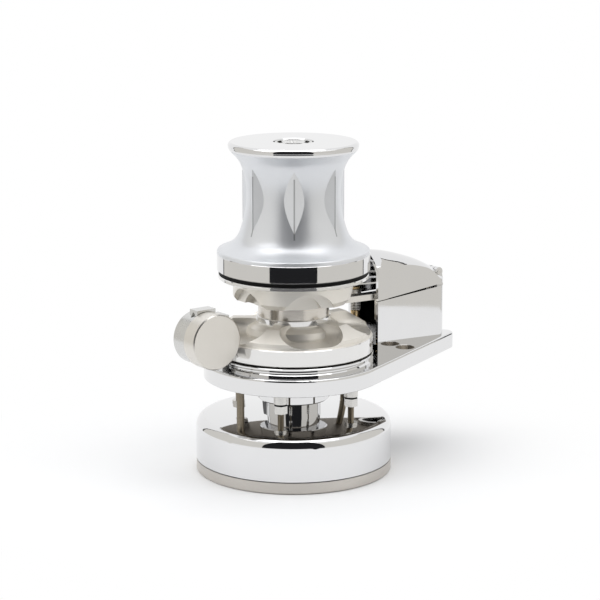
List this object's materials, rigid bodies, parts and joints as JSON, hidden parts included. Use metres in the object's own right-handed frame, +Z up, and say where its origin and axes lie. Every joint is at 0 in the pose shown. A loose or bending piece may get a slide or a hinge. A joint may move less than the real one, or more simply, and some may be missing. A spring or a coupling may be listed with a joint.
{
  "type": "deck capstan",
  "caption": "Vertical anchor windlass capstan: ribbed rope drum over a chain gypsy, deck plate with hinged chain-pipe cover, side brake knob and a round under-deck motor gearbox.",
  "frame": {"origin": "on the shaft axis at the underside of the motor unit", "axes": "+Z up along the shaft, +X along the deck plate towards its chain-pipe tip"},
  "size_m": [0.2404, 0.1382, 0.2327],
  "materials": {
    "mirror_steel": "mirror polished stainless steel",
    "satin_steel": "bead-blasted satin stainless steel",
    "blasted_nickel": "warm satin cast, blasted",
    "brushed_base": "turned, brushed",
    "steel_hardware": "machined stainless steel",
    "bronze": "machined bronze",
    "black_rubber": "matte black",
    "black_plastic": "moulded, matte",
    "dark_iron": "sintered, dark"
  },
  "bodies": {
    "base": {"arm_pin": "bronze", "arm_spring": "steel_hardware", "base_bush": "bronze", "base_ring": "mirror_steel", "base_screws": "steel_hardware", "brake_bracket": "satin_steel", "brush_ring": "black_plastic", "brushes": "dark_iron", "chain_stripper": "steel_hardware", "chainpipe_collar": "steel_hardware", "chainpipe_housing": "mirror_steel", "clamp_nuts": "steel_hardware", "clamp_rubbers": "black_rubber", "clamp_studs": "steel_hardware", "clamp_washers": "steel_hardware", "deck_plate": "mirror_steel", "field_magnets": "dark_iron", "housing_seal": "black_rubber", "lid_pin": "steel_hardware", "motor_base_plate": "brushed_base", "motor_housing": "mirror_steel", "motor_studs": "steel_hardware", "output_bush": "bronze", "ring_gear": "steel_hardware", "rotor_bush": "bronze", "shaft_seal": "black_rubber", "shaft_sleeve": "steel_hardware", "terminal_block": "black_plastic", "terminal_studs": "bronze", "thrust_washer": "bronze", "top_screws": "steel_hardware"},
    "shaft": {"main_shaft": "steel_hardware", "shaft_keys": "steel_hardware", "planet_carrier": "steel_hardware", "lower_clutch_cone": "steel_hardware", "upper_clutch_cone": "steel_hardware", "drum_body": "satin_steel", "drum_base_ring": "mirror_steel", "drum_screws": "steel_hardware", "drum_seal_ring": "black_rubber", "drum_top_cap": "mirror_steel", "nut_washer": "steel_hardware"},
    "gypsy": {"gypsy_lower": "blasted_nickel", "gypsy_spacer": "steel_hardware", "gypsy_upper": "blasted_nickel", "gypsy_screws": "steel_hardware", "gypsy_bush": "bronze"},
    "clutch_nut": {"clutch_nut": "satin_steel"},
    "rotor": {"sun_pinion": "steel_hardware", "armature": "steel_hardware"},
    "planet_1": {"planet_gear_1": "steel_hardware"},
    "planet_2": {"planet_gear_2": "steel_hardware"},
    "planet_3": {"planet_gear_3": "steel_hardware"},
    "lid": {"chainpipe_lid": "mirror_steel"},
    "pressure_arm": {"pressure_arm": "satin_steel"},
    "brake_knob": {"brake_knob": "satin_steel", "brake_spindle": "steel_hardware", "spindle_clip": "steel_hardware"},
    "brake_shoe": {"brake_shoe": "steel_hardware", "brake_lining": "black_rubber"}
  },
  "joints": [
    {"name": "shaft_turn", "type": "hinge", "parent": "base", "child": "shaft", "pos_m": [0, 0, 0.03], "axis": [0, 0, 1], "continuous": true},
    {"name": "gypsy_turn", "type": "hinge", "parent": "shaft", "child": "gypsy", "pos_m": [0, 0, 0.1], "axis": [0, 0, 1], "continuous": true},
    {"name": "clutch_nut_turn", "type": "hinge", "parent": "shaft", "child": "clutch_nut", "pos_m": [0, 0, 0.224], "axis": [0, 0, 1], "range_deg": [0, 270]},
    {"name": "rotor_turn", "type": "hinge", "parent": "base", "child": "rotor", "pos_m": [0, 0, 0.01], "axis": [0, 0, 1], "continuous": true},
    {"name": "planet_turn_1", "type": "hinge", "parent": "shaft", "child": "planet_1", "pos_m": [0.018, 0, 0.017], "axis": [0, 0, 1], "continuous": true},
    {"name": "planet_turn_2", "type": "hinge", "parent": "shaft", "child": "planet_2", "pos_m": [-0.009, 0.01559, 0.017], "axis": [0, 0, 1], "continuous": true},
    {"name": "planet_turn_3", "type": "hinge", "parent": "shaft", "child": "planet_3", "pos_m": [-0.009, -0.01559, 0.017], "axis": [0, 0, 1], "continuous": true},
    {"name": "lid_open", "type": "hinge", "parent": "base", "child": "lid", "pos_m": [0.129, 0, 0.1258], "axis": [0, 1, 0], "range_deg": [0, 105]},
    {"name": "arm_swing", "type": "hinge", "parent": "base", "child": "pressure_arm", "pos_m": [0.0625, 0.009, 0.116], "axis": [0, 0, 1], "range_deg": [-14, 4], "stiffness_Nm_per_rad": 0.05, "springref_deg": 4.01},
    {"name": "brake_knob_turn", "type": "hinge", "parent": "base", "child": "brake_knob", "pos_m": [-0.0752, -0.0145, 0.1035], "axis": [0, -1, 0], "range_deg": [0, 60]},
    {"name": "brake_shoe_slide", "type": "slide", "parent": "base", "child": "brake_shoe", "axis": [1, 0, 0], "range_m": [0, 0.00045]}
  ],
  "couplings": [
    {"joint": "rotor_turn", "follows": "shaft_turn", "ratio": 6},
    {"joint": "planet_turn_1", "follows": "shaft_turn", "ratio": -2.5},
    {"joint": "planet_turn_2", "follows": "shaft_turn", "ratio": -2.5},
    {"joint": "planet_turn_3", "follows": "shaft_turn", "ratio": -2.5},
    {"joint": "brake_shoe_slide", "follows": "brake_knob_turn", "m_per_rad": 0.00042972}
  ]
}
